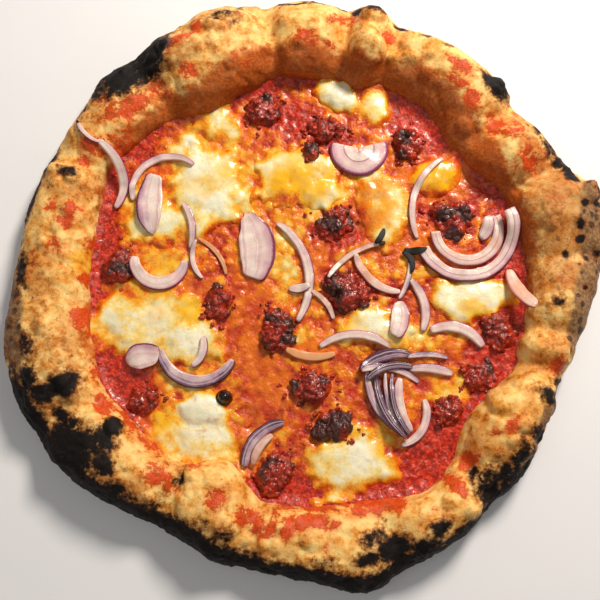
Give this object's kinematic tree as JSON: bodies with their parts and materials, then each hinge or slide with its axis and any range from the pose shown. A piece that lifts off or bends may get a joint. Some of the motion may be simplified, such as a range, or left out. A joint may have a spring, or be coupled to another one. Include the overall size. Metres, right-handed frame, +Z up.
{
  "type": "nduja pizza",
  "caption": "Whole round wood-fired pizza with a puffed, charred rim, tomato sauce, melted cheese, crumbled spicy sausage and sliced red onion.",
  "frame": {"origin": "on the flat underside, below the middle of the outline", "axes": "+Z up out of the topping; +Y is away from the viewer in the picture and +X to the viewer's right"},
  "size_m": [0.3186, 0.3162, 0.0316],
  "materials": {
    "crust": "matt baked dough, cream to toasted brown, with black blisters and floury patches",
    "sauce": "wet pulpy tomato sauce with orange oil",
    "cheese": "melted soft cheese, cream with yellow and browned patches, shiny with fat",
    "nduja": "crumbly dark red spreadable sausage, greasy, scorched at the tips",
    "onion": "translucent pink-white onion with a purple skin edge"
  },
  "bodies": {
    "root": {"crust": "crust", "sauce": "sauce", "cheese_01": "cheese", "cheese_02": "cheese", "cheese_03": "cheese", "cheese_04": "cheese", "cheese_05": "cheese", "cheese_06": "cheese", "cheese_07": "cheese", "cheese_08": "cheese", "cheese_09": "cheese", "nduja_01": "nduja", "nduja_02": "nduja", "nduja_03": "nduja", "nduja_04": "nduja", "nduja_05": "nduja", "nduja_06": "nduja", "nduja_07": "nduja", "nduja_08": "nduja", "nduja_09": "nduja", "nduja_10": "nduja", "nduja_11": "nduja", "nduja_12": "nduja", "nduja_13": "nduja", "nduja_14": "nduja", "nduja_15": "nduja", "nduja_16": "nduja", "nduja_17": "nduja", "onion_01": "onion", "onion_02": "onion", "onion_03": "onion", "onion_04": "onion", "onion_05": "onion", "onion_06": "onion", "onion_07": "onion", "onion_08": "onion", "onion_09": "onion", "onion_10": "onion", "onion_11": "onion", "onion_12": "onion", "onion_13": "onion", "onion_14": "onion", "onion_15": "onion", "onion_16": "onion", "onion_17": "onion", "onion_18": "onion", "onion_19": "onion", "onion_20": "onion", "onion_21": "onion", "onion_22": "onion", "onion_23": "onion", "onion_24": "onion", "onion_25": "onion", "onion_26": "onion", "onion_27": "onion", "onion_28": "onion", "onion_29": "onion", "onion_30": "onion", "onion_31": "onion", "onion_32": "onion"}
  },
  "joints": []
}
